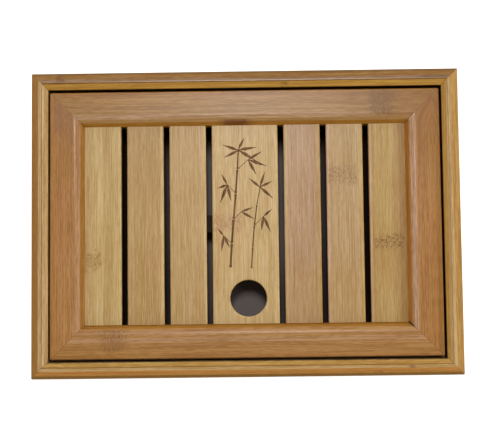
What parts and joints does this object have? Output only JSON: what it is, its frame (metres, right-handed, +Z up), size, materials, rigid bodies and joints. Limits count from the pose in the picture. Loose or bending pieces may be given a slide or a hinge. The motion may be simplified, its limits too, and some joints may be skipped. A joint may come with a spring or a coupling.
{
  "type": "gongfu tea tray",
  "caption": "Rectangular bamboo tea tray: a mitred box on feet with a drop-in slatted panel over a lift-out plastic water tray, and a finger hole to lift the panel.",
  "frame": {"origin": "on the ground under the middle of the box, at the bottom of the feet", "axes": "+X along the long side, +Y towards the back, away from the finger hole, +Z up"},
  "size_m": [0.35, 0.25, 0.06],
  "materials": {
    "box_bamboo": "carbonised bamboo, satin lacquer",
    "panel_bamboo": "carbonised bamboo, satin lacquer",
    "slat_bamboo": "flat pressed bamboo, satin lacquer",
    "ledger_bamboo": "plain bamboo",
    "base_bamboo": "plain bamboo ply",
    "spline_bamboo": "plain bamboo",
    "cleat_bamboo": "plain bamboo",
    "foot_rubber": "matt black rubber",
    "screw_steel": "zinc plated",
    "tray_plastic": "dark grey, fine texture"
  },
  "bodies": {
    "box": {"box_front": "box_bamboo", "box_back": "box_bamboo", "box_left": "box_bamboo", "box_right": "box_bamboo", "box_corner_splines": "spline_bamboo", "ledger_front": "ledger_bamboo", "ledger_back": "ledger_bamboo", "ledger_left": "ledger_bamboo", "ledger_right": "ledger_bamboo", "base_board": "base_bamboo", "foot_front_left": "foot_rubber", "foot_front_right": "foot_rubber", "foot_back_left": "foot_rubber", "foot_back_right": "foot_rubber", "foot_screws": "screw_steel"},
    "water_tray": {"water_tray": "tray_plastic"},
    "panel": {"panel_front": "panel_bamboo", "panel_back": "panel_bamboo", "panel_left": "panel_bamboo", "panel_right": "panel_bamboo", "panel_corner_splines": "spline_bamboo", "slat_1": "slat_bamboo", "slat_2": "slat_bamboo", "slat_3": "slat_bamboo", "slat_4": "slat_bamboo", "slat_5": "slat_bamboo", "slat_6": "slat_bamboo", "slat_7": "slat_bamboo", "slat_cleat": "cleat_bamboo"}
  },
  "joints": [
    {"name": "tray_lift", "type": "slide", "parent": "box", "child": "water_tray", "axis": [0, 0, 1], "range_m": [0, 0.08]},
    {"name": "panel_lift", "type": "slide", "parent": "water_tray", "child": "panel", "axis": [0, 0, 1], "range_m": [0, 0.06]}
  ]
}
